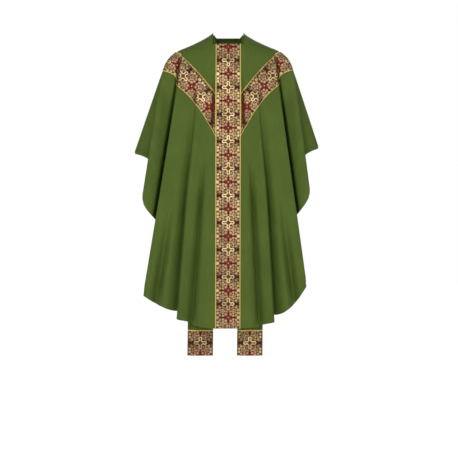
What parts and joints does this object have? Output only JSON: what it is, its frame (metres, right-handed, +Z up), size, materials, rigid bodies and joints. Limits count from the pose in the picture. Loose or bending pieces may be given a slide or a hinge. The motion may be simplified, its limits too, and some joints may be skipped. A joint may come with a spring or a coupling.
{
  "type": "chasuble",
  "caption": "Wide sleeveless vestment with a square neck opening and a Y-shaped brocade band, draped on the shoulders, with a matching stole hanging inside it.",
  "frame": {"origin": "middle of the neck opening, level with the two neck points where the garment rests on the shoulders", "axes": "+Z up along the garment, -Y out of the front of the garment, +X towards the right as seen from the front"},
  "size_m": [0.8234, 0.3632, 1.4249],
  "materials": {
    "green_cloth": "matte plain-woven green wool-blend vestment cloth",
    "lining": "smooth green lining cloth",
    "stiffener": "unbleached woven linen stiffener and stay tape",
    "brocade": "jacquard brocade, crimson ground with gold and cream metallic thread",
    "gold_braid": "narrow woven braid of yellow-gold metallic thread"
  },
  "bodies": {
    "garment": {"front_panel_left": "green_cloth", "front_panel_right": "green_cloth", "back_panel_left": "green_cloth", "back_panel_right": "green_cloth", "front_stiffener": "stiffener", "back_stiffener": "stiffener", "front_column": "brocade", "back_column": "brocade", "front_braid_left": "gold_braid", "front_braid_right": "gold_braid", "back_braid_left": "gold_braid", "back_braid_right": "gold_braid", "front_arm_left": "brocade", "front_arm_right": "brocade", "back_arm_left": "brocade", "back_arm_right": "brocade", "front_arm_left_upper_braid": "gold_braid", "front_arm_left_lower_braid": "gold_braid", "front_arm_right_upper_braid": "gold_braid", "front_arm_right_lower_braid": "gold_braid", "back_arm_left_upper_braid": "gold_braid", "back_arm_left_lower_braid": "gold_braid", "back_arm_right_upper_braid": "gold_braid", "back_arm_right_lower_braid": "gold_braid", "neck_facing_front": "green_cloth", "neck_facing_back": "green_cloth", "shoulder_stay_left": "stiffener", "shoulder_stay_right": "stiffener", "stole_neck": "green_cloth", "stole_neck_lining": "lining"},
    "left_wing": {"wing_front_left": "green_cloth", "wing_back_left": "green_cloth", "shoulder_band_left": "brocade", "shoulder_left_inner_braid": "gold_braid", "shoulder_left_outer_braid": "gold_braid"},
    "right_wing": {"wing_front_right": "green_cloth", "wing_back_right": "green_cloth", "shoulder_band_right": "brocade", "shoulder_right_inner_braid": "gold_braid", "shoulder_right_outer_braid": "gold_braid"},
    "stole_left_half": {"stole_left": "green_cloth", "stole_lining_left": "lining", "stole_end_left": "brocade", "stole_braid_left": "gold_braid"},
    "stole_right_half": {"stole_right": "green_cloth", "stole_lining_right": "lining", "stole_end_right": "brocade", "stole_braid_right": "gold_braid"}
  },
  "joints": [
    {"name": "left_arm_lift", "type": "hinge", "parent": "garment", "child": "left_wing", "pos_m": [-0.1965, 0, -0.071], "axis": [0, 1, 0], "range_deg": [0, 50]},
    {"name": "right_arm_lift", "type": "hinge", "parent": "garment", "child": "right_wing", "pos_m": [0.1955, 0, -0.071], "axis": [0, -1, 0], "range_deg": [0, 50]},
    {"name": "stole_left_swing", "type": "hinge", "parent": "garment", "child": "stole_left_half", "pos_m": [-0.1103, -0.06, -0.12], "axis": [0, 1, 0], "range_deg": [-1.9, 3]},
    {"name": "stole_right_swing", "type": "hinge", "parent": "garment", "child": "stole_right_half", "pos_m": [0.1077, -0.06, -0.12], "axis": [0, -1, 0], "range_deg": [-1.9, 3]}
  ]
}
